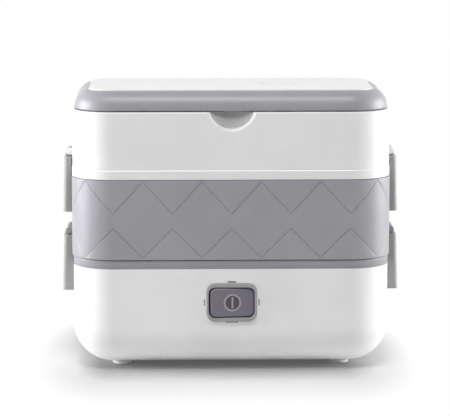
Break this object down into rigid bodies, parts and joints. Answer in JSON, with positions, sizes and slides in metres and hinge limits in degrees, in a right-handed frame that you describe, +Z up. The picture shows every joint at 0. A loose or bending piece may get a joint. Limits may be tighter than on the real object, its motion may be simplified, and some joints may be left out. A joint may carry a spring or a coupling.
{
  "type": "electric lunch box",
  "caption": "Electric steaming lunch box: heated base, stacked grey and white tiers with steel bowls, hinged lid and side latches.",
  "frame": {"origin": "middle of the whole object's bounding box, on the table under the feet", "axes": "+Z up, -Y towards the user (switch and finger notch), +X to the user's right"},
  "size_m": [0.25, 0.124, 0.2073],
  "materials": {
    "white_abs": "moulded, glossy",
    "grey_pp": "moulded, satin",
    "latch_grey": "moulded, satin",
    "liner_pp": "moulded, matt",
    "bezel_grey": "moulded",
    "smoked_rocker": "smoked, glossy",
    "silicone": "soft, matt",
    "stainless": "drawn and brushed",
    "aluminium": "extruded",
    "zinc": "plated",
    "brass": "bright",
    "black_plastic": "moulded",
    "wire_pvc": "PVC"
  },
  "bodies": {
    "base": {"base_shell": "white_abs", "base_collar": "grey_pp", "bottom_cover": "white_abs", "feet": "silicone", "cover_screws": "zinc", "water_pan": "stainless", "pan_gasket": "silicone", "heater_block": "aluminium", "heater_straps": "zinc", "strap_screws": "zinc", "thermostat": "black_plastic", "thermal_fuse": "brass", "lead_wires": "wire_pvc", "inlet_socket": "black_plastic", "inlet_pins": "brass", "switch_surround": "white_abs", "switch_bezel": "bezel_grey", "switch_base": "black_plastic", "switch_terminals": "brass"},
    "rocker": {"switch_rocker": "smoked_rocker"},
    "lower_tier": {"lower_tier_shell": "grey_pp", "lower_gasket": "silicone", "lower_latch_pins": "zinc"},
    "lower_bowl": {"lower_bowl": "stainless"},
    "upper_tier": {"upper_tier_shell": "white_abs", "upper_gasket": "silicone", "upper_latch_pins": "zinc", "hinge_pins": "zinc"},
    "upper_bowl": {"upper_bowl": "stainless"},
    "lid": {"lid_frame": "grey_pp", "lid_plate": "white_abs", "lid_liner": "liner_pp", "lid_gasket": "silicone", "liner_screws": "zinc", "vent_cap": "white_abs", "vent_seal": "silicone"},
    "latch_upper_left": {"latch_upper_left": "latch_grey"},
    "latch_upper_right": {"latch_upper_right": "latch_grey"},
    "latch_lower_left": {"latch_lower_left": "latch_grey"},
    "latch_lower_right": {"latch_lower_right": "latch_grey"}
  },
  "joints": [
    {"name": "lower_tier_lift", "type": "slide", "parent": "base", "child": "lower_tier", "axis": [0, 0, 1], "range_m": [0, 0.09]},
    {"name": "upper_tier_lift", "type": "slide", "parent": "lower_tier", "child": "upper_tier", "axis": [0, 0, 1], "range_m": [0, 0.09]},
    {"name": "lid_hinge", "type": "hinge", "parent": "upper_tier", "child": "lid", "pos_m": [0, 0.05902, 0.1925], "axis": [-1, 0, 0], "range_deg": [0, 105]},
    {"name": "lower_bowl_lift", "type": "slide", "parent": "lower_tier", "child": "lower_bowl", "axis": [0, 0, 1], "range_m": [0, 0.009]},
    {"name": "upper_bowl_lift", "type": "slide", "parent": "upper_tier", "child": "upper_bowl", "axis": [0, 0, 1], "range_m": [0, 0.009]},
    {"name": "latch_upper_left_swing", "type": "hinge", "parent": "upper_tier", "child": "latch_upper_left", "pos_m": [-0.1195, -0.00208, 0.1579], "axis": [0, 1, 0], "range_deg": [0, 110]},
    {"name": "latch_upper_right_swing", "type": "hinge", "parent": "upper_tier", "child": "latch_upper_right", "pos_m": [0.1195, -0.00208, 0.1579], "axis": [0, -1, 0], "range_deg": [0, 110]},
    {"name": "latch_lower_left_swing", "type": "hinge", "parent": "lower_tier", "child": "latch_lower_left", "pos_m": [-0.1202, -0.00208, 0.099], "axis": [0, 1, 0], "range_deg": [0, 110]},
    {"name": "latch_lower_right_swing", "type": "hinge", "parent": "lower_tier", "child": "latch_lower_right", "pos_m": [0.1202, -0.00208, 0.099], "axis": [0, -1, 0], "range_deg": [0, 110]},
    {"name": "rocker_tilt", "type": "hinge", "parent": "base", "child": "rocker", "pos_m": [0, -0.05568, 0.052], "axis": [0, 0, -1], "range_deg": [0, 10]}
  ]
}
